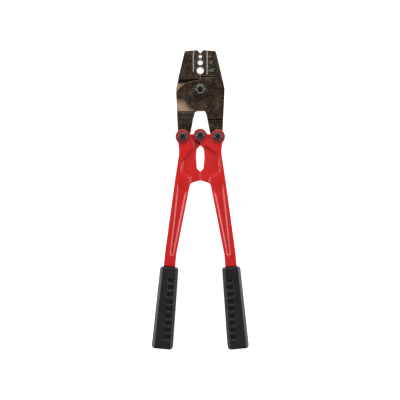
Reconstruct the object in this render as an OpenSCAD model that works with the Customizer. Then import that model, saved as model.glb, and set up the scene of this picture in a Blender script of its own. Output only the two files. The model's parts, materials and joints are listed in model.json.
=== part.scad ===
// Hand crimping and cutting tool of the bolt-cutter pattern, 450 mm long.
// Millimetres.  The tool lies flat: Z is its thickness, the jaws point along +Y,
// and the origin is on the main pivot's axis at the underside of the main bolt's head.

/* [Jaws] */
// Main pivot axis to the tip of the nose
nose_len = 59.5; // [56:0.5:72]
// Half the width of the closed nose at its top corners
nose_half_w = 23.4; // [19:0.2:28]
// Half the width of the head beside the main pivot
head_half_w = 36.7; // [34:0.1:44]
// Thickness of the two lapped hubs together
hub_t = 13.4; // [11:0.2:16]
// Height of the nose above the hub on each face
nose_rise = 1.3; // [0.5:0.1:3]
// Thickness of each jaw's tail, between the cheeks of a handle
tail_t = 8; // [6:0.5:10]
// Width of wall outside each tail's pivot axis
tail_edge = 7.5; // [7:0.1:9]
// Radius of the round end of each tail
tail_end_r = 9; // [8:0.1:9.6]
// Main pivot axis down to the crown of the arch between the tails
arch_drop = 31.2; // [29:0.2:34]
// Radius at the top corners of the nose
nose_corner_r = 4; // [1:0.5:8]

/* [Crimping cavities] */
// Diameter of the small cavity
small_d = 5; // [4:0.1:6]
// Diameter of the middle cavity
middle_d = 7.8; // [6:0.1:9]
// Diameter of the large cavity
large_d = 10.6; // [9:0.1:12]
// Height of the pointed relief above and below each cavity
relief_h = 0.65; // [0.3:0.05:0.8]
// Land left between one cavity and the next
land = 1.45; // [1:0.05:2]
// Depth of the cutting notch in the nose tip
notch_depth = 4.8; // [3:0.1:6]
// Half the width of the cutting notch at its mouth
notch_half_w = 4.3; // [3:0.1:5]
// Distance from the closing line to each die groove
groove_x = 10.3; // [8:0.1:13]
// Depth of each die groove
groove_depth = 1; // [0.4:0.1:1.5]
// Width of the relief groove at the foot of each step across a jaw
relief_w = 1.5; // [0.8:0.1:2]
// Depth of that relief groove
relief_depth = 1; // [0.4:0.1:1.4]
// Depth of the size marks beside the cavities
mark_depth = 0.4; // [0.2:0.1:1]

/* [Linkage] */
// Half the distance between the two outer handle pivots
link_half = 26.4; // [25:0.1:29]
// Main pivot axis down to the outer handle pivots
link_drop = 70; // [66:0.5:84]
// Height of the centre handle pivot above the outer ones
centre_rise = 1.8; // [0:0.1:3]

/* [Handles] */
// Thickness of each cheek of a handle's fork
cheek_t = 4; // [3:0.2:6]
// Radius of the boss around each outer pivot
boss_r = 11; // [10:0.1:12.5]
// Radius of the lug around the centre pivot
lug_r = 10.4; // [9:0.1:11]
// Height of each boss above its cheek
boss_h = 0.6; // [0.3:0.1:1.5]
// Thickness of the thin web beside the slot
web_t = 9; // [6:0.5:12]
// Outer pivots down to the shoulder, where the arm begins
shoulder_drop = 71; // [66:0.5:85]
// Closing line to the middle of the arm at the shoulder
shoulder_x = 26.8; // [25:0.1:30]
// Width of the arm at the shoulder
shoulder_w = 24; // [20:0.5:27]
// Length of the leaning arm, from shoulder to knee
arm_len = 105; // [85:1:140]
// Width of the arm at the knee
knee_w = 17.4; // [15:0.2:20]
// Lean of the arm, in degrees
arm_lean = 9.6; // [6:0.1:12]
// Lean of the grip, in degrees
grip_lean = 5.1; // [2:0.1:8]
// Straight bar between the knee and the grip
neck_len = 20.5; // [15:0.5:30]
// Depth of the channel along each face of the arm
channel_depth = 2.2; // [1:0.1:4]
// Width of the rib left outside the channel
outer_rib_w = 4.4; // [3:0.1:6]
// Width of the rib left inside the channel
inner_rib_w = 4; // [3:0.1:6]
// Width of the channel at its narrow end
channel_end_w = 4.4; // [1:0.1:6]
// Middle of that end, measured inwards from the middle of the arm
channel_end_in = 1.9; // [0:0.1:3]
// Half the width of the slot between the two handles
slot_half_w = 6; // [4:0.1:7]

/* [Grips] */
// Length of each grip
grip_len = 122; // [100:1:150]
// Width of each grip at its top
grip_top_w = 27.6; // [24:0.2:32]
// Width of each grip at its bottom
grip_end_w = 32; // [28:0.2:38]
// Thickness of each grip
grip_t = 28; // [24:0.5:28]
// Number of finger recesses along each face
recess_n = 9; // [5:1:10]
// Distance from one recess to the next
recess_pitch = 10.6; // [9:0.1:11.5]
// Size of each recess along the grip
recess_l = 6.4; // [4:0.1:8]
// Size of each recess across the grip
recess_w = 10.3; // [6:0.1:11]
// Depth of each recess
recess_depth = 2.2; // [0.8:0.1:3]
// Length of the steel tang inside each grip
tang_len = 100; // [80:1:115]
// Width of the tang
tang_w = 13; // [10:0.5:16]
// Thickness of the tang
tang_t = 9; // [6:0.5:12]

/* [Fasteners] */
// Diameter of the main bolt
main_d = 8; // [6:0.5:10]
// Width of the main bolt's head and nut across flats
main_af = 13; // [11:0.5:16]
// Height of the main bolt's head
main_head_h = 5.3; // [4:0.1:7]
// Height of the main nut
main_nut_h = 6.5; // [5:0.1:8]
// Diameter of the main washers
main_washer_d = 20; // [17:0.5:24]
// Thickness of the main washers
main_washer_t = 2; // [1.2:0.1:3]
// Diameter of the handle bolts
link_d = 6; // [5:0.5:7]
// Width of the handle bolts' heads and nuts across flats
link_af = 10; // [8:0.5:11]
// Height of the handle bolts' heads
link_head_h = 3.9; // [3:0.1:5]
// Height of the handle nuts
link_nut_h = 5; // [4:0.1:6]
// Diameter of the handle washers
link_washer_d = 13; // [12:0.5:16]
// Thickness of the handle washers
link_washer_t = 1.2; // [0.8:0.1:2]
// Length of bolt end that shows past each nut
bolt_end = 1.2; // [0.5:0.1:2.5]

/* [Clearances] */
// Gap between the two jaws, and between the two handles, where they close
closing_gap = 0.2; // [0.1:0.05:0.5]
// Gap between lapped faces
lap_gap = 0.2; // [0.1:0.05:0.5]
// Gap on each side of a tail, between its cheeks
cheek_gap = 0.15; // [0.1:0.05:0.4]
// Radial clearance of each bolt in its bores
bolt_fit = 0.05; // [0.02:0.01:0.1]
// Clearance round a part that turns inside another
swing_gap = 0.5; // [0.3:0.1:1]
// Clearance between a tang and its grip
tang_fit = 0.1; // [0.05:0.05:0.3]
// Sideways play of the left jaw on its handle bolt
open_play = 4; // [3.9:0.1:4.5]
// Clearance across that play
open_gap = 0.35; // [0.3:0.05:0.6]

/* [Hidden] */
$fn = 64;

// Heights.  z_mid is the middle plane of the tool; the rest are measured from it.
z_mid = main_head_h + main_washer_t + hub_t / 2;
hub_z = hub_t / 2;
nose_z = hub_z + nose_rise;
tail_z = tail_t / 2;
fork_z = tail_z + cheek_gap;
cheek_z = fork_z + cheek_t;
boss_z = cheek_z + boss_h;
web_z = web_t / 2;
far = 400;   // a size well beyond every part, for cutting shapes

// Pivots
outer_pivot = [link_half, -link_drop];
centre_pivot = [0, centre_rise - link_drop];

// Cavities, stacked down the closing line from the notch
small_y = nose_len - notch_depth - land - relief_h - small_d / 2;
middle_y = small_y - small_d / 2 - 2 * relief_h - land - middle_d / 2;
large_y = middle_y - middle_d / 2 - 2 * relief_h - land - large_d / 2;
cavities = [[small_y, small_d], [middle_y, middle_d], [large_y, large_d]];

// Levels across the head
front_step_y = large_y - large_d / 2 - relief_h - 2.4;   // end of the nose on the lap's own face
rear_step_y = front_step_y - 3.6;                        // end of the nose on the other face
rear_step_fall = 1.8;                                    // how far that end slopes down outwards
front_groove_y = front_step_y + 1.9;                     // end of the die groove on each face
rear_groove_y = front_step_y + 5.8;
recess_end_y = -arch_drop - 2;                           // end of the machined lap face
ledge_end_y = recess_end_y - 6.6;                        // end of the ledge below it
ledge_z = 2;                                             // height of that ledge
tail_step_y = ledge_end_y - 2.9;                         // end of the hub's own face
tail_neck = 12.1;                                        // tail's inner side to its pivot
cut = 0.01;                                              // overlap between slabs of one solid

// Size marks: a dot, and one more stroke for each larger cavity
mark_x = 13.2;
dot_r = 0.8;
stroke_w = 0.9;
stroke_l = 5.2;
stroke_pitch = 2;

// Arm
shoulder = [shoulder_x, -link_drop - shoulder_drop];
knee = shoulder + arm_len * heading(arm_lean);
grip_top = knee + neck_len * heading(grip_lean);
stop_top_y = shoulder.y + 19;       // top of the stop, at the foot of the slot
stop_end_y = shoulder.y + 5.5;      // bottom of the stop
slot_top_y = centre_pivot.y - 14.6; // crown of the slot

// Grip recesses, set in from the inner edge and a little above the grip's middle
recess_inset = 4.6;
recess_top = (grip_len - (recess_n - 1) * recess_pitch) / 2 + 1.3;
notch_depth_side = 1.6; // depth and height of the notches in the grip's inner side
notch_h = 15;
grip_bevel = 4.2;       // width of the bevel along each long edge of a grip

// How far each handle swings out when the tool is fully open, in degrees
handle_swing = 45;

// A unit vector that points down the tool, leaning outwards by a degrees
function heading(a) = [sin(a), -cos(a)];
// The unit vector to its outer side
function outward(a) = [cos(a), sin(a)];

// Corner rounding.  Each corner of an outline is [x, y, r]; an arc of radius r replaces it.
function unit(v) = v / norm(v);
function turn(a) = a > 180 ? a - 360 : a < -180 ? a + 360 : a;
function corner(a, b, c, n) =
    let (p = [b.x, b.y],
         u = unit([a.x, a.y] - p),
         v = unit([c.x, c.y] - p),
         half = acos(u * v) / 2,
         mid = p + unit(u + v) * (b.z / sin(half)),
         start = p + u * (b.z / tan(half)) - mid,
         stop = p + v * (b.z / tan(half)) - mid,
         a0 = atan2(start.y, start.x),
         sweep = turn(atan2(stop.y, stop.x) - a0))
    [for (i = [0:n]) mid + b.z * [cos(a0 + sweep * i / n), sin(a0 + sweep * i / n)]];
function rounded(pts, n = 8) =
    let (m = len(pts))
    [for (i = [0:m - 1]) each
        pts[i].z == 0 ? [[pts[i].x, pts[i].y]]
                      : corner(pts[(i + m - 1) % m], pts[i], pts[(i + 1) % m], n)];
// A point with a corner radius
function at(p, r = 0) = [p.x, p.y, r];

// A slab of an outline between two heights
module slab(z0, z1) {
    translate([0, 0, z0]) linear_extrude(z1 - z0) children();
}

// The part of the plane between two levels of y
module band(y0, y1) {
    translate([-far, y0]) square([2 * far, y1 - y0]);
}

// A through hole on a pivot
module bore(p, d) {
    translate([p.x, p.y, -far]) cylinder(h = 2 * far, d = d + 2 * bolt_fit);
}

// Turns a right-hand piece over into the left-hand one
module turned_over() {
    rotate([0, 180, 0]) children();
}

// Lifts a piece from the middle plane to its place
module placed() {
    translate([0, 0, z_mid]) children();
}

// ---- Jaws ----

// Outline of one jaw, on its own side of the closing line
module jaw_plan() {
    tail_x = link_half + tail_edge;
    polygon(rounded([
        [closing_gap / 2, nose_len - notch_depth, 0],
        [notch_half_w, nose_len, 0.8],
        [nose_half_w, nose_len - 1.3, nose_corner_r],
        [head_half_w, 2, 25],
        [tail_x, 12 - link_drop, 0],
        [tail_x, -link_drop, 0],
        [link_half - tail_end_r, -link_drop, 0],
        [link_half - tail_neck, 7 - link_drop, 4],
        [10.4, -arch_drop - 11, 30],
        [7.6, -arch_drop, 5],
        [closing_gap / 2, -arch_drop, 0]]));
}

// Everything below the nose's end on the other face, starting drop further down
module rear_recess(drop) {
    fall = rear_step_fall * far / head_half_w;
    translate([0, rear_step_y - drop]) polygon([[-1, 0], [far, -fall], [far, -far], [-1, -far]]);
}

// The lap that reaches across the pivot to the other side of the tool
module lap_plan() {
    wing_x = head_half_w - 0.4;
    polygon(rounded([
        [closing_gap / 2 + 1, rear_step_y - 0.9, 0],
        [closing_gap / 2, rear_step_y - 0.9, 0],
        [-3, rear_step_y - 2.2, 1],
        [-17, rear_step_y - 4.8, 30],
        [6 - wing_x, 4.5, 14],
        [-wing_x, -5, 1.5],
        [0.7 - wing_x, -13.8, 0.8],
        [11.2 - wing_x, -10.3, 2],
        [-17.5, -24, 16],
        [-5, -arch_drop, 3],
        [closing_gap / 2 + 1, -arch_drop, 0]]));
}

// One cavity's plan: a circle with a pointed relief on the closing line
module cavity_cut(y, d) {
    tip = d / 2 + relief_h;
    side = 2 * relief_h;
    translate([0, y, -far]) {
        cylinder(h = 2 * far, d = d);
        linear_extrude(2 * far)
            polygon([[0, tip], [side, tip - side], [side, side - tip],
                     [0, -tip], [-side, side - tip], [-side, tip - side]]);
    }
}

// A V groove down one face of the nose, from y0 to the tip
module die_groove(y0, z) {
    side = groove_depth * sqrt(2);
    translate([groove_x, y0, z]) rotate([-90, 45, 0])
        translate([-side / 2, -side / 2, 0]) cube([side, side, far]);
}

// The relief grooves of one jaw: two on its own face, three on the other
module reliefs() {
    slab(hub_z - relief_depth, far) intersection() {
        jaw_plan();
        band(front_step_y - relief_w, front_step_y);
    }
    slab(tail_z - relief_depth, far) intersection() {
        jaw_plan();
        band(tail_step_y - relief_w, tail_step_y);
    }
    slab(-far, relief_depth + lap_gap / 2) intersection() {
        jaw_plan();
        band(recess_end_y, recess_end_y + relief_w);
    }
    slab(-far, relief_depth - ledge_z) intersection() {
        jaw_plan();
        band(ledge_end_y, ledge_end_y + relief_w);
    }
    slab(-far, relief_depth + lap_gap / 2) intersection() {
        jaw_plan();
        difference() {
            rear_recess(0);
            rear_recess(2 * relief_w);
        }
    }
}

// The size marks on the front of the nose: no lettering
module size_marks() {
    for (i = [0:len(cavities) - 1]) translate([mark_x, cavities[i][0], nose_z - mark_depth]) {
        cylinder(h = far, r = dot_r);
        for (k = [0:i]) translate([dot_r + stroke_w + k * stroke_pitch, -stroke_l / 2, 0])
            cube([stroke_w, stroke_l, far]);
    }
}

// The right-hand jaw about the middle plane; its lap is the front one
module jaw_body() {
    difference() {
        union() {
            slab(0, nose_z) intersection() {
                jaw_plan();
                band(front_step_y, far);
            }
            slab(-nose_z, 0) difference() {
                jaw_plan();
                rear_recess(0);
            }
            slab(lap_gap / 2, hub_z) intersection() {
                union() {
                    jaw_plan();
                    lap_plan();
                }
                band(tail_step_y, front_step_y + cut);
            }
            slab(-ledge_z, lap_gap / 2 + cut) intersection() {
                jaw_plan();
                band(ledge_end_y - cut, recess_end_y);
            }
            slab(-tail_z, tail_z) intersection() {
                jaw_plan();
                band(-link_drop, ledge_end_y);
            }
            translate([link_half, -link_drop, -tail_z]) cylinder(h = tail_t, r = tail_end_r);
        }
        bore([0, 0], main_d);
        reliefs();
        for (c = cavities) cavity_cut(c[0], c[1]);
        die_groove(front_groove_y, nose_z);
        die_groove(rear_groove_y, -nose_z);
    }
}

module jaw_right() {
    color("#3c3028") placed() difference() {
        jaw_body();
        bore(outer_pivot, link_d);
        size_marks();
    }
}

// The left jaw is the same forging turned over, with its bolt hole drawn out to a slot
module jaw_left() {
    color("#46382d") placed() turned_over() difference() {
        jaw_body();
        for (x = [0, open_play]) bore(outer_pivot + [x, 0], link_d + 2 * open_gap);
        translate([link_half, -link_drop - link_d / 2 - open_gap, -far])
            cube([open_play, link_d + 2 * open_gap, 2 * far]);
    }
}

// ---- Handles ----

// Outline of one handle without its boss and lug
module handle_plan() {
    gap = closing_gap / 2;
    tang_r = 1.5;
    bend_r = 100;   // of the outer edge at the shoulder and the knee
    polygon(rounded([
        at([gap, slot_top_y]),
        [gap, centre_pivot.y, 0],
        [lug_r - 1, centre_pivot.y + 2.2, 0],
        [link_half - 6, centre_pivot.y + 2.2, 0],
        [link_half, -link_drop, 0],
        [link_half + 7, -link_drop - 8, 0],
        [link_half + 5.2, -link_drop - 23, 40],
        at(shoulder + shoulder_w / 2 * outward(arm_lean), bend_r),
        at(knee + knee_w / 2 * outward(arm_lean), bend_r),
        at(grip_top + knee_w / 2 * outward(grip_lean)),
        at(grip_top + tang_w / 2 * outward(grip_lean)),
        at(grip_top + tang_w / 2 * outward(grip_lean) + tang_len * heading(grip_lean), tang_r),
        at(grip_top - tang_w / 2 * outward(grip_lean) + tang_len * heading(grip_lean), tang_r),
        at(grip_top - tang_w / 2 * outward(grip_lean)),
        at(grip_top - knee_w / 2 * outward(grip_lean)),
        at(knee - knee_w / 2 * outward(arm_lean), 60),
        at([shoulder.x - shoulder_w / 2 + 0.2, shoulder.y + 1.5], 7),
        [gap, stop_end_y, 0],
        [gap, stop_top_y, 0],
        [slot_half_w - 1.3, stop_top_y + 4.6, 2],
        [slot_half_w + 0.3, (stop_top_y + slot_top_y) / 2 + 2, 30],
        [slot_half_w - 0.7, slot_top_y - 5.2, 6]]));
}

// The thin web's floor on the lug's own face
module web_floor_front() {
    polygon(rounded([
        [-1, slot_top_y - 7, 0],
        [slot_half_w - 0.4, slot_top_y - 7, 0],
        [slot_half_w + 1.4, slot_top_y - 0.6, 1.5],
        [link_half - 2.6, slot_top_y - 12.4, 6],
        [link_half + 1.6, slot_top_y - 20, 10],
        [link_half + 3, shoulder.y + 18, 5],
        [shoulder.x - 12.4, shoulder.y + 10.4, 4],
        [shoulder.x - 13.2, shoulder.y, 0],
        [-1, shoulder.y, 0]]));
}

// The thin web's floor on the other face, which runs up to the lug's clearance
module web_floor_rear() {
    polygon(rounded([
        [-1, centre_pivot.y - 6, 0],
        [8, centre_pivot.y - 6, 0],
        [10.4, slot_top_y - 2.4, 16],
        [link_half - 1.2, centre_pivot.y - 38, 8],
        [link_half + 2.4, shoulder.y + 18.5, 5],
        [shoulder.x - 8, shoulder.y + 12, 4],
        [shoulder.x - 12, shoulder.y + 10.5, 0],
        [shoulder.x - 12, shoulder.y, 0],
        [-1, shoulder.y, 0]]));
}

// The channel along each face of the arm, which narrows to a point at the knee
module channel_plan() {
    down = heading(arm_lean);
    out = outward(arm_lean);
    end = knee + 2.5 * down - channel_end_in * out;
    polygon(rounded([
        at(shoulder - 8 * down + (shoulder_w / 2 - outer_rib_w) * out, 2),
        at(end + channel_end_w / 2 * out, channel_end_w / 2.4),
        at(end - channel_end_w / 2 * out, channel_end_w / 2.4),
        at(shoulder + 3 * down - (shoulder_w / 2 - inner_rib_w) * out, 2)]));
}

// The space between the cheeks, wide enough for the jaw's tail as it swings.  The tail of
// a pivot with play strays sideways and comes back, so the space follows it in nine steps.
module fork_plan(play) {
    reach = tail_end_r + swing_gap;
    neck = tail_neck + swing_gap + play;
    translate(outer_pivot) {
        for (t = [0:0.125:1])
            translate(play * sin(180 * t) * [-cos(handle_swing * t), sin(handle_swing * t)])
                circle(r = reach);
        polygon([[-reach - play, 0],
                 [-neck, 4 - play / 4],
                 [-neck, far],
                 [far, far],
                 [far, -reach / 2],
                 [reach * cos(30), -reach / 2]]);
    }
}

// The right-hand handle about the middle plane; its lug is the front one
module handle_body(play) {
    boss_set_in = 0.4;   // the raised face of each boss is this much smaller
    difference() {
        union() {
            slab(lap_gap / 2, cheek_z) {
                handle_plan();
                translate(centre_pivot) circle(r = lug_r);
                translate(outer_pivot) circle(r = boss_r);
            }
            slab(-cheek_z, lap_gap / 2 + cut) difference() {
                union() {
                    handle_plan();
                    translate(outer_pivot) circle(r = boss_r);
                }
                translate(centre_pivot) circle(r = lug_r + swing_gap);
            }
            slab(cheek_z - cut, boss_z) translate(centre_pivot) circle(r = lug_r - boss_set_in);
            for (z = [-boss_z, cheek_z - cut])
                slab(z, z + boss_h + cut) translate(outer_pivot) circle(r = boss_r - boss_set_in);
        }
        slab(web_z, cheek_z + cut) difference() {
            web_floor_front();
            translate(centre_pivot) circle(r = lug_r);
        }
        slab(-far, -web_z) web_floor_rear();
        slab(-fork_z, fork_z) fork_plan(play);
        slab(cheek_z - channel_depth, far) channel_plan();
        slab(-far, channel_depth - cheek_z) channel_plan();
        for (side = [-1, 1]) scale([1, 1, side]) tang_relief();
        bore(outer_pivot, link_d);
        bore(centre_pivot, link_d);
    }
}

// Thins the tang below the shoulder that meets the grip
module tang_relief() {
    translate([grip_top.x, grip_top.y, tang_t / 2]) rotate(grip_lean)
        translate([-far / 2, -far, 0]) cube([far, far, far]);
}

module handle_right() {
    color("#c8282a") placed() handle_body(0);
}

// The left handle is the same casting turned over, opened for the play of its pivot
module handle_left() {
    color("#c8282a") placed() turned_over() handle_body(open_play);
}

// ---- Grips ----

// Outline of a grip in its own frame: top at the origin, running down -Y
module grip_plan() {
    polygon(rounded([
        [-grip_top_w / 2 + 1.5, 0, 0],
        [grip_top_w / 2 - 1.5, 0, 0],
        [grip_top_w / 2, -3, 1.5],
        [grip_end_w / 2, -grip_len, 4.5],
        [-grip_end_w / 2, -grip_len, 4.5],
        [-grip_top_w / 2, -3, 1.5]]));
}

// A grip about the middle plane; its recesses are beside its inner edge, at -X
module grip_body() {
    taper = atan((grip_end_w - grip_top_w) / 2 / grip_len);
    difference() {
        slab(-grip_t / 2, grip_t / 2) grip_plan();
        for (side = [-1, 1], face = [-1, 1])
            scale([side, 1, face])
                translate([grip_top_w / 2 - grip_bevel, 0, grip_t / 2]) rotate([0, 0, taper])
                    rotate([0, 45, 0]) translate([0, -1.2 * grip_len, 0])
                        cube([4 * grip_bevel, 1.4 * grip_len, 4 * grip_bevel]);
        for (i = [0:recess_n - 1]) {
            y = -recess_top - i * recess_pitch - recess_l / 2;
            side_x = y * tan(taper) - grip_top_w / 2;
            for (face = [-1, 1]) scale([1, 1, face])
                translate([side_x + recess_inset, y, grip_t / 2 - recess_depth])
                    cube([recess_w, recess_l, far]);
            translate([side_x - far + notch_depth_side, y, -notch_h / 2])
                cube([far, recess_l, notch_h]);
        }
        translate([-tang_w / 2 - tang_fit, -tang_len - tang_fit, -tang_t / 2 - tang_fit])
            cube([tang_w + 2 * tang_fit, tang_len + 2 * tang_fit, tang_t + 2 * tang_fit]);
    }
}

module grip_placed() {
    translate([grip_top.x, grip_top.y, 0]) rotate(grip_lean)
        translate([0, -tang_fit, 0]) grip_body();
}

module grip_right() {
    color("#232626") placed() grip_placed();
}

module grip_left() {
    color("#232626") placed() turned_over() grip_placed();
}

// ---- Fasteners ----

// A hexagonal prism between two heights, with corners to the left and right
module hexagon(af, z0, z1) {
    translate([0, 0, z0]) cylinder(h = z1 - z0, d = af / cos(30), $fn = 6);
}

// A bolt with its head below and its end above; face is the height of the washer seats
module bolt(p, d, af, face, washer, head, nut) {
    translate([p.x, p.y, 0]) {
        hexagon(af, -face - washer - head, -face - washer);
        translate([0, 0, -face - washer - cut])
            cylinder(h = 2 * (face + washer) + nut + bolt_end + cut, d = d);
    }
}

module nut(p, d, af, z, h) {
    translate([p.x, p.y, 0]) difference() {
        hexagon(af, z, z + h);
        bore([0, 0], d);
    }
}

module washer(p, d, outer, z, t) {
    translate([p.x, p.y, z]) difference() {
        cylinder(h = t, d = outer);
        bore([0, 0], d);
    }
}

module main_bolt() {
    color("#26241f") placed()
        bolt([0, 0], main_d, main_af, hub_z, main_washer_t, main_head_h, main_nut_h);
}

module main_nut() {
    color("#8d8d88") placed()
        nut([0, 0], main_d, main_af, hub_z + main_washer_t, main_nut_h);
}

module main_washer(z) {
    color("#3a3833") placed() washer([0, 0], main_d, main_washer_d, z, main_washer_t);
}

module link_bolt(p) {
    color("#26241f") placed()
        bolt(p, link_d, link_af, boss_z, link_washer_t, link_head_h, link_nut_h);
}

module link_nut(p) {
    color("#8d8d88") placed() nut(p, link_d, link_af, boss_z + link_washer_t, link_nut_h);
}

module link_washer(p, z) {
    color("#26241f") placed() washer(p, link_d, link_washer_d, z, link_washer_t);
}

left_pivot = [-outer_pivot.x, outer_pivot.y];

jaw_right();
jaw_left();
handle_right();
handle_left();
grip_right();
grip_left();
main_bolt();
main_nut();
main_washer(hub_z);  // main_washer_front
main_washer(-hub_z - main_washer_t);  // main_washer_rear
link_bolt(outer_pivot);  // right_bolt
link_nut(outer_pivot);  // right_nut
link_washer(outer_pivot, boss_z);  // right_washer_front
link_washer(outer_pivot, -boss_z - link_washer_t);  // right_washer_rear
link_bolt(left_pivot);  // left_bolt
link_nut(left_pivot);  // left_nut
link_washer(left_pivot, boss_z);  // left_washer_front
link_washer(left_pivot, -boss_z - link_washer_t);  // left_washer_rear
link_bolt(centre_pivot);  // centre_bolt
link_nut(centre_pivot);  // centre_nut
link_washer(centre_pivot, boss_z);  // centre_washer_front
link_washer(centre_pivot, -boss_z - link_washer_t);  // centre_washer_rear
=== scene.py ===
import json
import math

import bmesh
import bpy
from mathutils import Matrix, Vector, noise


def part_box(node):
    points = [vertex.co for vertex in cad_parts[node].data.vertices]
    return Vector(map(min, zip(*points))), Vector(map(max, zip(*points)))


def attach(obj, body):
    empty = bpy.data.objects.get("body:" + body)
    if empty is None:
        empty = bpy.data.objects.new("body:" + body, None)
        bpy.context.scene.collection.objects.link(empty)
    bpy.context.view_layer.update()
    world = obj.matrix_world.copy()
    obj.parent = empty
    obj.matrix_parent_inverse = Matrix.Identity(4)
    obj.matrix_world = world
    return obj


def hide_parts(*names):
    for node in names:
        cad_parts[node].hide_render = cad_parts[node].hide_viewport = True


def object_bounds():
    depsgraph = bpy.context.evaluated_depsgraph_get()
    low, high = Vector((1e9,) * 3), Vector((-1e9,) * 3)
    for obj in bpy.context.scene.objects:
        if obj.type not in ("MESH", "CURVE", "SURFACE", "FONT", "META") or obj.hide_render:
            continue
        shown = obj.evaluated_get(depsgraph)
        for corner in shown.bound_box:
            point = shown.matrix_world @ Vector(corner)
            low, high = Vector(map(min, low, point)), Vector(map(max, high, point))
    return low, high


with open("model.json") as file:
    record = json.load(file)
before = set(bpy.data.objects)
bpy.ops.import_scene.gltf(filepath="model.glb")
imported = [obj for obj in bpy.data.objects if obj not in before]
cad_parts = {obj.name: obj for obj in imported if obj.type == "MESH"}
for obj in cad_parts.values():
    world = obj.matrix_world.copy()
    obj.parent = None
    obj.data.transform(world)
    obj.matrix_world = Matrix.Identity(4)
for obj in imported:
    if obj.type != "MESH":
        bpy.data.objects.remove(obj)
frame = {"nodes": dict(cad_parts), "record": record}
cad_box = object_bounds()
MM = 0.001

# ---------------------------------------------------------------- sizes in millimetres


def mm(node):
    """A CAD node's lowest and highest corner, in millimetres."""
    low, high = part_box(node)
    return low / MM, high / MM


MID_Z = (mm("handle_right")[0].z + mm("handle_right")[1].z) / 2

# Heights above the tool's middle plane
BOSS_RISE = 0.6                                # a boss above the cheek around it
CHANNEL_DEPTH = 2.2
NOSE_H = mm("jaw_right")[1].z - MID_Z
CHEEK_H = mm("right_washer_front")[0].z - BOSS_RISE - MID_Z
WEB_H = 4.5
CHANNEL_H = CHEEK_H - CHANNEL_DEPTH

# The jaws
NOSE_TOP = mm("jaw_right")[1].y
CAVITIES = [m for m in frame["record"]["mounts"] if m["name"].startswith("cavity")]
NOSE_FOOT = min(m["pos_m"][1] for m in CAVITIES) / MM - 8
GROOVE_X = 10.3                                # closing line to each die groove
GROOVE_HALF = 0.75
LAP_TOP = 10.6                                 # the ground lap runs from here down to the arch
MARKS_X = (12.0, 21.5)                         # the size marks lie between these
MARKS_TOP = NOSE_TOP - 3

# The handles and grips
ARM_LEAN = math.radians(9.6)
CHANNEL_END = 14                               # length at a channel's upper end that is drawn out
CLOSE_Y = mm("right_bolt")[0].y - 70           # above this the two handles meet on the closing line
# These two set the bevel strip along a grip's outer edge, which the rubber paints lighter as a highlight.
GRIP_EDGE_LEAN = math.radians(6.1)             # lean of a grip's outer edge
GRIP_BEVEL = 4.9                               # width of the bevel along that edge

# The fasteners
BORE_PLAY = 0.05                               # a nut's or washer's bore around its bolt, on each side
NUT_CHAMFER = 0.5
WASHER_EDGE = 0.25
HEX_CONE = 0.96                                # radius at which a hexagon's corners start to fall away
HEX_FALL = math.radians(30)
THREAD_DEPTH = 0.54                            # of the pitch

# ---------------------------------------------------------------- mesh helpers


def new_object(name, mesh):
    piece = bpy.data.objects.new(name, mesh)
    bpy.context.scene.collection.objects.link(piece)
    return piece


def from_bmesh(bm, name):
    mesh = bpy.data.meshes.new(name)
    bm.to_mesh(mesh)
    bm.free()
    return new_object(name, mesh)


def cleaned(node):
    """A copy of a CAD node's surface with its flat faces whole again."""
    bm = bmesh.new()
    bm.from_mesh(frame["nodes"][node].data)
    bmesh.ops.remove_doubles(bm, verts=bm.verts, dist=2e-6)
    bmesh.ops.dissolve_limit(bm, angle_limit=math.radians(0.4), verts=bm.verts, edges=bm.edges)
    return bm


def apply_modifiers(piece):
    """Makes what the modifiers give into the piece's own mesh."""
    graph = bpy.context.evaluated_depsgraph_get()
    mesh = bpy.data.meshes.new_from_object(piece.evaluated_get(graph))
    piece.modifiers.clear()
    piece.data = mesh


def softened(piece, voxel, rounds, keep, cuts=()):
    """Rounds every edge as casting and moulding do, then thins the mesh out where it is flat.
    Each cut is (point, normal) of a plane in millimetres, along which two materials can meet cleanly."""
    remesh = piece.modifiers.new("remesh", "REMESH")
    remesh.mode = "VOXEL"
    remesh.voxel_size = voxel * MM
    smooth = piece.modifiers.new("smooth", "SMOOTH")
    smooth.factor = 0.5
    smooth.iterations = rounds
    thin = piece.modifiers.new("thin", "DECIMATE")
    thin.ratio = keep
    apply_modifiers(piece)
    bm = bmesh.new()
    bm.from_mesh(piece.data)
    for point, normal in cuts:
        everything = bm.verts[:] + bm.edges[:] + bm.faces[:]
        bmesh.ops.bisect_plane(bm, geom=everything, plane_co=Vector(point) * MM, plane_no=normal, dist=1e-7)
    bm.to_mesh(piece.data)
    bm.free()
    finish_normals(piece)
    return piece


def finish_normals(piece):
    for face in piece.data.polygons:
        face.use_smooth = True
    weigh = piece.modifiers.new("normals", "WEIGHTED_NORMAL")
    weigh.weight = 80
    apply_modifiers(piece)


def slope_walls(bm, floor_h, top_h, inward, outward, side):
    """Leans the walls between two heights on one side of the middle plane, as a casting's draft does."""
    floor_z = MID_Z + side * floor_h
    top_z = MID_Z + side * top_h
    push = {}
    for face in bm.faces:
        levels = [v.co.z / MM for v in face.verts]
        wall = abs(face.normal.z) < 0.01 and max(levels) - min(levels) > 0.5
        if not wall or any(min(abs(z - floor_z), abs(z - top_z)) > 0.02 for z in levels):
            continue
        for v in face.verts:
            low = abs(v.co.z / MM - floor_z) < 0.02
            push.setdefault(v, []).append((face.normal.copy(), inward if low else -outward))
    for v, moves in push.items():
        mean = sum((n for n, _ in moves), Vector()).normalized()
        v.co += mean * (moves[0][1] * MM / max(0.6, mean.dot(moves[0][0])))


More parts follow.
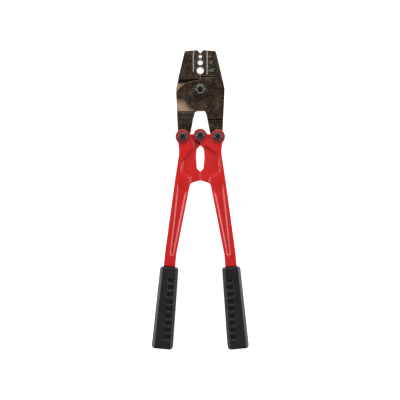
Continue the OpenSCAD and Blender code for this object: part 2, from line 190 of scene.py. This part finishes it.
def fade_channel(bm, side, outer, run):
    """Draws the upper end of an arm's channel out into a long ramp; outer is the arm's outer side in X."""
    floor_z = MID_Z + side * CHANNEL_H
    floor = [v for v in bm.verts if abs(v.co.z / MM - floor_z) < 0.02]
    top_y = max(v.co.y for v in floor)
    end = [v for v in floor if v.co.y > top_y - CHANNEL_END * MM]
    down = Vector((outer * math.sin(ARM_LEAN), -math.cos(ARM_LEAN), 0))
    across = Vector((math.cos(ARM_LEAN), outer * math.sin(ARM_LEAN), 0))
    middle = sum(v.co.dot(across) for v in end) / len(end)
    for v in end:
        off = v.co.dot(across) - middle
        v.co += down * (run * MM) - across * (0.3 * off)


def close_up(piece, above_y):
    """Draws the faces that meet on the closing line back to it, where smoothing has opened them."""
    for v in piece.data.vertices:
        x, y, _ = v.co / MM
        if abs(x) < 0.45 and y > above_y:
            v.co.x = math.copysign(0.02 * MM, x)


def roughen(piece, depth, size, seed):
    """Small hammered unevenness over a forged or cast surface."""
    places = [v.co.copy() for v in piece.data.vertices]
    normals = [v.normal.copy() for v in piece.data.vertices]
    shift = Vector((seed, 0, 0))
    flat = []
    for place, normal in zip(places, normals):
        flat.extend(place + normal * (noise.noise(place / (size * MM) + shift) * depth * MM))
    piece.data.vertices.foreach_set("co", flat)
    piece.data.update()


# ---------------------------------------------------------------- material helpers


class Nodes:
    """A short way to write a node tree."""

    def __init__(self, name):
        self.material = bpy.data.materials.new(name)
        self.material.use_nodes = True
        self.tree = self.material.node_tree
        self.shader = self.tree.nodes["Principled BSDF"]
        self.place = self.add("ShaderNodeTexCoord").outputs["Object"]

    def add(self, kind, **values):
        node = self.tree.nodes.new(kind)
        for key, value in values.items():
            setattr(node, key, value)
        return node

    def link(self, a, b):
        self.tree.links.new(a, b)

    def noise(self, size_mm, detail=4.0, rough=0.55, stretch=(1, 1, 1)):
        """Noise whose features are about size_mm across."""
        scale = self.add("ShaderNodeMapping")
        scale.inputs["Scale"].default_value = [s / (size_mm * MM) for s in stretch]
        self.link(self.place, scale.inputs["Vector"])
        node = self.add("ShaderNodeTexNoise")
        node.inputs["Scale"].default_value = 1.0
        node.inputs["Detail"].default_value = detail
        node.inputs["Roughness"].default_value = rough
        self.link(scale.outputs["Vector"], node.inputs["Vector"])
        return node.outputs["Fac"]

    def ramp(self, value, stops):
        node = self.add("ShaderNodeValToRGB")
        points = node.color_ramp.elements
        while len(points) < len(stops):
            points.new(0.5)
        for point, (at, colour) in zip(points, stops):
            point.position = at
            point.color = (*colour, 1) if isinstance(colour, tuple) else (colour, colour, colour, 1)
        self.link(value, node.inputs["Fac"])
        return node.outputs["Color"]

    def mix(self, fac, a, b):
        node = self.add("ShaderNodeMix", data_type="RGBA")
        for socket, value in ((node.inputs["Factor"], fac), (node.inputs[6], a), (node.inputs[7], b)):
            if isinstance(value, (int, float)):
                socket.default_value = value
            elif isinstance(value, tuple):
                socket.default_value = (*value, 1)
            else:
                self.link(value, socket)
        return node.outputs[2]

    def math(self, operation, a, b=0.0):
        node = self.add("ShaderNodeMath", operation=operation)
        for socket, value in ((node.inputs[0], a), (node.inputs[1], b)):
            if isinstance(value, (int, float)):
                socket.default_value = value
            else:
                self.link(value, socket)
        return node.outputs[0]

    def edges(self, width_mm):
        """1 on outer edges, 0 on flats; the materials paint these edges lighter, partly as wear and partly
        as a painted highlight.
        """
        bevel = self.add("ShaderNodeBevel", samples=6)
        bevel.inputs["Radius"].default_value = width_mm * MM
        plain = self.add("ShaderNodeNewGeometry")
        dot = self.add("ShaderNodeVectorMath", operation="DOT_PRODUCT")
        self.link(bevel.outputs["Normal"], dot.inputs[0])
        self.link(plain.outputs["Normal"], dot.inputs[1])
        return self.math("SUBTRACT", 1.0, dot.outputs["Value"])

    def tilt(self):
        """1 on flat faces, 0 on upright walls."""
        split = self.add("ShaderNodeSeparateXYZ")
        self.link(self.add("ShaderNodeTexCoord").outputs["Normal"], split.inputs[0])
        return self.math("ABSOLUTE", split.outputs["Z"])

    def slants(self, low, high):
        """1 on surfaces that lean about 45 degrees, 0 on flat faces and upright walls."""
        return self.ramp(self.tilt(), [(low - 0.2, 0.0), (low, 1.0), (high, 1.0), (high + 0.1, 0.0)])

    def across(self, lean):
        """Millimetres outwards from the tool's middle line, square to an edge with this lean."""
        split = self.add("ShaderNodeSeparateXYZ")
        self.link(self.place, split.inputs[0])
        x = self.math("MULTIPLY", self.math("ABSOLUTE", split.outputs["X"]), math.cos(lean) / MM)
        y = self.math("MULTIPLY", split.outputs["Y"], math.sin(lean) / MM)
        return self.math("ADD", x, y)

    def crease_shade(self, reach_mm):
        """1 in the open, towards 0 in corners and gaps, where the materials paint shade."""
        node = self.add("ShaderNodeAmbientOcclusion", samples=8)
        node.inputs["Distance"].default_value = reach_mm * MM
        return node.outputs["AO"]

    def bump(self, heights):
        """Each of heights is (value, depth in millimetres)."""
        normal = None
        for value, depth in heights:
            node = self.add("ShaderNodeBump")
            node.inputs["Strength"].default_value = 1.0
            node.inputs["Distance"].default_value = depth * MM
            self.link(value, node.inputs["Height"])
            if normal is not None:
                self.link(normal, node.inputs["Normal"])
            normal = node.outputs["Normal"]
        self.link(normal, self.shader.inputs["Normal"])

    def set(self, **values):
        for key, value in values.items():
            socket = self.shader.inputs[key.replace("_", " ")]
            if isinstance(value, (int, float)):
                socket.default_value = value
            elif isinstance(value, tuple):
                socket.default_value = (*value, 1)
            else:
                self.link(value, socket)


def jaw_steel():
    """Forged steel, oxidised to a mottled brown-black."""
    n = Nodes("jaw_steel")
    patches = n.noise(15, 5)
    flecks = n.noise(3.2, 5, 0.65)
    grain = n.noise(0.9, 3)
    colour = n.ramp(patches, [
        (0.36, (0.014, 0.0095, 0.0068)), (0.5, (0.036, 0.0235, 0.0155)), (0.66, (0.078, 0.050, 0.031))])
    colour = n.mix(n.ramp(flecks, [(0.50, 0.0), (0.72, 0.55)]), colour, (0.150, 0.097, 0.058))
    colour = n.mix(n.ramp(grain, [(0.52, 0.0), (0.72, 0.3)]), colour, (0.17, 0.13, 0.10))
    # Outer edges painted lighter: partly wear, partly a painted highlight.
    colour = n.mix(n.ramp(n.edges(1.2), [(0.01, 0.0), (0.09, 0.75)]), colour, (0.42, 0.37, 0.32))
    # Painted shade: corners and the feet of steps made nearly black.
    colour = n.mix(n.ramp(n.crease_shade(2.6), [(0.62, 1.0), (0.86, 0.0)]), colour, (0.002, 0.0015, 0.001))
    n.set(Base_Color=colour, Metallic=0.6, Roughness=n.ramp(flecks, [(0.35, 0.36), (0.7, 0.60)]),
          Specular_IOR_Level=0.2)
    n.bump([(n.noise(6, 3), 0.22), (flecks, 0.14), (grain, 0.05)])
    return n.material


def machined_steel():
    """The lap faces, ground and warm-toned by oil."""
    n = Nodes("machined_steel")
    strokes = n.noise(0.8, 3, stretch=(0.05, 1, 1))
    patches = n.noise(9, 4)
    colour = n.mix(strokes, (0.37, 0.235, 0.150), (0.46, 0.305, 0.200))
    colour = n.mix(n.ramp(patches, [(0.42, 0.0), (0.75, 0.6)]), colour, (0.29, 0.180, 0.112))
    # Painted shade in corners and at the feet of steps.
    colour = n.mix(n.ramp(n.crease_shade(2.4), [(0.50, 1.0), (0.78, 0.0)]), colour, (0.02, 0.013, 0.009))
    n.set(Base_Color=colour, Metallic=0.2, Roughness=n.ramp(strokes, [(0.3, 0.42), (0.7, 0.58)]))
    n.bump([(strokes, 0.02)])
    return n.material


def cut_steel():
    """Bare steel where a cutter has been: the die grooves, the size marks and the cavities."""
    n = Nodes("cut_steel")
    grain = n.noise(0.7, 3)
    colour = n.mix(grain, (0.14, 0.155, 0.17), (0.32, 0.345, 0.375))
    n.set(Base_Color=colour, Metallic=0.5, Roughness=n.ramp(grain, [(0.3, 0.28), (0.7, 0.45)]))
    n.bump([(grain, 0.02)])
    return n.material


def red_paint():
    """Thick red enamel over a sand casting."""
    n = Nodes("red_paint")
    patches = n.noise(28, 4)
    specks = n.noise(1.3, 3)
    colour = n.mix(patches, (0.51, 0.0075, 0.0075), (0.62, 0.013, 0.012))
    scuffs = n.noise(4.5, 6, 0.7)
    colour = n.mix(n.ramp(specks, [(0.60, 0.0), (0.8, 0.35)]), colour, (0.34, 0.008, 0.008))
    colour = n.mix(n.ramp(scuffs, [(0.56, 0.0), (0.74, 0.45)]), colour, (0.38, 0.006, 0.007))
    # The boss faces, higher than the cheeks, are made darker.
    split = n.add("ShaderNodeSeparateXYZ")
    n.link(n.place, split.inputs[0])
    height = n.math("ABSOLUTE", n.math("SUBTRACT", split.outputs["Z"], MID_Z * MM))
    tone_mask = n.math("MULTIPLY", n.math("GREATER_THAN", height, (CHEEK_H + 0.25) * MM), 0.6)
    colour = n.mix(tone_mask, colour, (0.20, 0.020, 0.030))
    # Painted shade: walls and rounded edges that turn away from the top are made darker.
    upright = n.ramp(n.tilt(), [(0.25, 0.85), (0.72, 0.0)])
    colour = n.mix(upright, colour, (0.17, 0.0035, 0.0045))
    # Painted shade in corners and recesses.
    colour = n.mix(n.ramp(n.crease_shade(3.0), [(0.35, 0.85), (0.80, 0.0)]), colour, (0.10, 0.0025, 0.003))
    n.set(Base_Color=colour, Metallic=0.0, Roughness=n.ramp(patches, [(0.3, 0.26), (0.7, 0.38)]),
          Coat_Weight=0.35, Coat_Roughness=0.14, Specular_IOR_Level=0.42)
    n.bump([(n.noise(8, 3), 0.12), (n.noise(1.6, 2), 0.02)])
    return n.material


def grip_rubber():
    """Moulded black rubber."""
    n = Nodes("grip_rubber")
    patches = n.noise(22, 4)
    grain = n.noise(0.6, 3)
    colour = n.mix(patches, (0.0065, 0.0068, 0.0064), (0.0135, 0.0138, 0.0130))
    low, high = mm("grip_right")
    edge = high.x * math.cos(GRIP_EDGE_LEAN) + low.y * math.sin(GRIP_EDGE_LEAN)
    outer = n.ramp(n.math("SUBTRACT", n.across(GRIP_EDGE_LEAN), edge - GRIP_BEVEL), [(0.0, 0.0), (0.4, 1.0)])
    # Painted highlight: the bevel along the grip's outer edge made lighter and bluish.
    bevel = n.math("MULTIPLY", n.slants(0.5, 0.84), outer)
    colour = n.mix(bevel, colour, (0.034, 0.043, 0.051))
    # Painted shade in the grip's recesses and corners.
    colour = n.mix(n.ramp(n.crease_shade(5.0), [(0.72, 1.0), (0.94, 0.0)]), colour, (0.0005, 0.0005, 0.0005))
    n.set(Base_Color=colour, Metallic=0.0, Roughness=n.ramp(patches, [(0.3, 0.34), (0.7, 0.50)]),
          Specular_IOR_Level=0.4)
    n.bump([(grain, 0.03), (n.noise(5, 2), 0.10)])
    return n.material


def oxide(name, dark, light, edge_wear_and_highlight, rough):
    """Black oxide on steel, lighter along its edges, partly from wear and partly as a painted highlight,
    with painted shade in its corners.
    """
    n = Nodes(name)
    grain = n.noise(1.0, 4)
    # Edges painted lighter: partly wear, partly a painted highlight.
    tone_mask = n.ramp(n.edges(0.8), [(0.01, 0.0), (0.10, 0.9)])
    colour = n.mix(n.ramp(grain, [(0.4, 0.0), (0.8, 0.4)]), dark, light)
    colour = n.mix(tone_mask, colour, edge_wear_and_highlight)
    # Painted shade in corners and gaps.
    colour = n.mix(n.ramp(n.crease_shade(1.8), [(0.35, 0.9), (0.8, 0.0)]), colour, (0.004, 0.0035, 0.003))
    roughness = n.ramp(grain, [(0.3, rough - 0.08), (0.7, rough + 0.1)])
    n.set(Base_Color=colour, Metallic=0.55, Roughness=roughness, Specular_IOR_Level=0.25)
    n.bump([(grain, 0.02)])
    return n.material


def pale_floor():
    """A white light table, so that no shadow falls on it."""
    n = Nodes("pale_floor")
    tone = n.noise(400, 2)
    n.set(Base_Color=n.mix(tone, (0.86, 0.86, 0.865), (0.90, 0.90, 0.90)), Roughness=0.85,
          Specular_IOR_Level=0.1, Emission_Color=(1.0, 1.0, 1.0), Emission_Strength=0.96)
    return n.material


STEEL = jaw_steel()
GROUND = machined_steel()
CUT = cut_steel()
RED = red_paint()
RUBBER = grip_rubber()
# The fourth colour of each is painted on its edges, partly as wear and partly as a painted highlight.
BOLT = oxide("black_oxide", (0.004, 0.004, 0.0035), (0.012, 0.011, 0.010), (0.10, 0.095, 0.09), 0.5)
WASHER = oxide("dark_washer", (0.012, 0.010, 0.009), (0.030, 0.026, 0.022), (0.55, 0.51, 0.46), 0.42)
NUT = oxide("worn_and_highlit_nut", (0.10, 0.093, 0.083), (0.20, 0.187, 0.168), (0.80, 0.78, 0.74), 0.36)
DARK_NUT = oxide("dark_nut", (0.030, 0.028, 0.025), (0.075, 0.070, 0.064), (0.60, 0.58, 0.55), 0.38)


def declare(piece, body, node, slot, *materials):
    for material in materials:
        piece.data.materials.append(material)
    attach(piece, body)
    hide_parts(node)


# ---------------------------------------------------------------- jaws


def in_cavity(x, y):
    for cavity in CAVITIES:
        at = cavity["pos_m"]
        if math.hypot(x - at[0] / MM, y - at[1] / MM) < cavity["dims"]["r_mm"] + 0.15:
            return True
    return False


def jaw_finish(face, lap_side):
    """Which material one face of a jaw has: 0 forged, 1 ground, 2 freshly cut."""
    x, y, z = face.center / MM
    height = abs(z - MID_Z)
    below_nose = NOSE_H - height
    if face.normal.z * lap_side > 0.8 and height < 0.4 and y < LAP_TOP:
        return 1
    if y > NOSE_FOOT and abs(x) < 0.4 and abs(face.normal.x) > 0.9:
        return 1
    if abs(face.normal.z) < 0.5 and in_cavity(x, y):
        return 2
    if y > NOSE_FOOT and 0.16 < below_nose < 1.3:
        in_groove = abs(abs(x) - GROOVE_X) < GROOVE_HALF
        in_marks = z > MID_Z and MARKS_X[0] < x < MARKS_X[1] and y < MARKS_TOP and below_nose < 0.5
        if in_groove or in_marks:
            return 2
    return 0


def make_jaw(name, lap_side):
    cuts = [((0, LAP_TOP, 0), (0, 1, 0))]
    for x in (GROOVE_X - GROOVE_HALF, GROOVE_X + GROOVE_HALF):
        cuts += [((x, 0, 0), (1, 0, 0)), ((-x, 0, 0), (1, 0, 0))]
    forging = from_bmesh(cleaned(name), name + "_forging")
    piece = softened(forging, voxel=0.34, rounds=3, keep=0.22, cuts=cuts)
    close_up(piece, NOSE_FOOT)
    declare(piece, name, name, "jaw_steel", STEEL, GROUND, CUT)
    for face in piece.data.polygons:
        face.material_index = jaw_finish(face, lap_side)


# ---------------------------------------------------------------- handles and grips


def make_handle(name, outer):
    bm = cleaned(name)
    for side in (-1, 1):
        slope_walls(bm, WEB_H, CHEEK_H, inward=1.2, outward=1.3, side=side)
        slope_walls(bm, CHANNEL_H, CHEEK_H, inward=1.4, outward=1.0, side=side)
        fade_channel(bm, side, outer, run=12)
    piece = softened(from_bmesh(bm, name + "_casting"), voxel=0.6, rounds=9, keep=0.4)
    roughen(piece, depth=0.12, size=9, seed=3)
    close_up(piece, CLOSE_Y)
    declare(piece, name, name, "red_paint", RED)


def make_grip(name, body):
    piece = softened(from_bmesh(cleaned(name), name + "_moulding"), voxel=0.55, rounds=3, keep=0.4)
    declare(piece, body, name, "grip_rubber", RUBBER)


make_jaw("jaw_right", -1)
make_jaw("jaw_left", 1)
make_handle("handle_right", 1)
make_handle("handle_left", -1)
make_grip("grip_right", "handle_right")
make_grip("grip_left", "handle_left")

# ---------------------------------------------------------------- fasteners


def ring_mesh(name, rings, steps, close_bottom=False, close_top=False):
    """A closed surface through rings of points; each ring is a function of angle and gives x, y, z in mm."""
    bm = bmesh.new()
    rows = []
    for ring in rings:
        rows.append([bm.verts.new(Vector(ring(math.tau * i / steps)) * MM) for i in range(steps)])
    for a, b in zip(rows, rows[1:]):
        for i in range(steps):
            j = (i + 1) % steps
            bm.faces.new((a[i], a[j], b[j], b[i]))
    if close_bottom:
        bm.faces.new(rows[0][::-1])
    if close_top:
        bm.faces.new(rows[-1])
    if not close_bottom and not close_top:
        for i in range(steps):
            j = (i + 1) % steps
            bm.faces.new((rows[-1][i], rows[-1][j], rows[0][j], rows[0][i]))
    bmesh.ops.recalc_face_normals(bm, faces=bm.faces)
    return from_bmesh(bm, name)


def circle_ring(at, r, z):
    return lambda a: (at.x + r * math.cos(a), at.y + r * math.sin(a), z)


def hex_ring(at, flats, z, cone=None, sign=1):
    """A hexagon's outline at height z; where it runs out past the cone's radius it is cut back down."""

    def point(a):
        inner = (a % (math.pi / 3)) - math.pi / 6
        r = flats / 2 / math.cos(inner)
        drop = 0 if cone is None else max(0.0, r - cone) * math.tan(HEX_FALL)
        return (at.x + r * math.cos(a), at.y + r * math.sin(a), z - sign * drop)

    return point


def smooth_by_angle(piece, degrees=35):
    piece.data.polygons.foreach_set("use_smooth", [True] * len(piece.data.polygons))
    piece.data.set_sharp_from_angle(angle=math.radians(degrees))


def make_nut(node, body, hole_d):
    low, high = mm(node)
    at = (low + high) / 2
    flats = high.y - low.y
    cone = flats / 2 * HEX_CONE
    r = hole_d / 2 + BORE_PLAY
    mouth = r + NUT_CHAMFER
    rings = [
        circle_ring(at, r, low.z + NUT_CHAMFER), circle_ring(at, mouth, low.z),
        circle_ring(at, cone, low.z), hex_ring(at, flats, low.z, cone, -1),
        hex_ring(at, flats, high.z, cone), circle_ring(at, cone, high.z),
        circle_ring(at, mouth, high.z), circle_ring(at, r, high.z - NUT_CHAMFER),
    ]
    piece = ring_mesh(node + "_hex", rings, 96)
    smooth_by_angle(piece)
    declare(piece, body, node, "bright_nut", NUT if body == "pivot" else DARK_NUT)


def make_washer(node, body, hole_d):
    low, high = mm(node)
    at = (low + high) / 2
    outer = (high.x - low.x) / 2
    r = hole_d / 2 + BORE_PLAY
    edge = WASHER_EDGE
    rings = [
        circle_ring(at, r, low.z), circle_ring(at, outer - edge, low.z),
        circle_ring(at, outer, low.z + edge), circle_ring(at, outer, high.z - edge),
        circle_ring(at, outer - edge, high.z), circle_ring(at, r + edge, high.z),
        circle_ring(at, r, high.z - edge),
    ]
    piece = ring_mesh(node + "_disc", rings, 72)
    smooth_by_angle(piece)
    declare(piece, body, node, "black_washer", WASHER)


def make_bolt(node, body, d, head_h, pitch, thread_from):
    """Hex head below, plain shank, then a true helical thread that runs out in a chamfer."""
    low, high = mm(node)
    at = (low + high) / 2
    flats = high.y - low.y
    cone = flats / 2 * HEX_CONE
    r = d / 2
    depth = pitch * THREAD_DEPTH
    head_z = low.z + head_h
    steps = 48
    rings = [circle_ring(at, cone * 0.5, low.z), circle_ring(at, cone, low.z),
             hex_ring(at, flats, low.z, cone, -1), hex_ring(at, flats, head_z), circle_ring(at, r, head_z),
             circle_ring(at, r, thread_from - pitch)]
    count = int((high.z - 0.6 - thread_from) / (pitch / 8))

    def thread_ring(z):
        def point(a):
            phase = (z / pitch - a / math.tau) % 1.0
            cut_r = r - depth * (1 - abs(2 * phase - 1))
            return (at.x + cut_r * math.cos(a), at.y + cut_r * math.sin(a), z)

        return point

    rings += [thread_ring(thread_from + i * pitch / 8) for i in range(count + 1)]
    rings += [circle_ring(at, r - depth, high.z - 0.45), circle_ring(at, r - depth - 0.5, high.z)]
    piece = ring_mesh(node + "_turned", rings, steps, close_bottom=True, close_top=True)
    smooth_by_angle(piece, 30)
    declare(piece, body, node, "black_bolt", BOLT)


for place, body, d, head_h, pitch in (
    ("main", "pivot", 8, 5.3, 1.25), ("right", "handle_right", 6, 3.9, 1.0),
    ("left", "handle_left", 6, 3.9, 1.0), ("centre", "handle_right", 6, 3.9, 1.0),
):
    nut_low = mm(place + "_nut")[0].z
    make_bolt(place + "_bolt", body, d, head_h, pitch, nut_low)
    make_nut(place + "_nut", body, d)
    for end in ("front", "rear"):
        make_washer(place + "_washer_" + end, body, d)

# ---------------------------------------------------------------- floor, light and camera


def stage():
    bm = bmesh.new()
    bmesh.ops.create_grid(bm, x_segments=8, y_segments=8, size=6.0)
    floor = from_bmesh(bm, "floor")
    floor.location.z = cad_box[0][2]
    floor.data.materials.append(pale_floor())


def area_light(name, place, target, size, power):
    light = bpy.data.lights.new(name, "AREA")
    light.shape = "RECTANGLE"
    light.size = size[0]
    light.size_y = size[1]
    light.energy = power
    lamp = bpy.data.objects.new(name, light)
    bpy.context.scene.collection.objects.link(lamp)
    lamp.location = place
    lamp.rotation_euler = (Vector(target) - Vector(place)).to_track_quat("-Z", "Y").to_euler()


def studio():
    world = bpy.data.worlds.new("studio")
    world.use_nodes = True
    world.node_tree.nodes["Background"].inputs["Color"].default_value = (1, 1, 1, 1)
    world.node_tree.nodes["Background"].inputs["Strength"].default_value = 0.22
    bpy.context.scene.world = world
    area_light("key", (0.0, 0.90, 0.80), (0, 0, 0), (0.9, 0.5), 12)
    area_light("left", (-1.0, -0.02, 0.42), (0, -0.1, 0), (1.0, 0.5), 8)
    area_light("right", (1.0, -0.02, 0.42), (0, -0.1, 0), (1.0, 0.5), 8)
    area_light("low", (0.0, -1.35, 0.45), (0, -0.1, 0), (1.0, 0.4), 1.5)


def camera():
    """Straight above the tool, with a little room around it."""
    lens, sensor, span = 100, 36, 0.6
    aside, below = 0.0004, 0.0006              # how far the tool's middle lies from the view's
    data = bpy.data.cameras.new("camera")
    data.lens = lens
    data.sensor_width = sensor
    view = bpy.data.objects.new("camera", data)
    bpy.context.scene.collection.objects.link(view)
    low, high = cad_box
    view.location = (-aside, (low[1] + high[1]) / 2 - below, MID_Z * MM + span * lens / sensor)
    bpy.context.scene.camera = view


stage()
studio()
camera()
bpy.context.scene.view_settings.view_transform = "Standard"
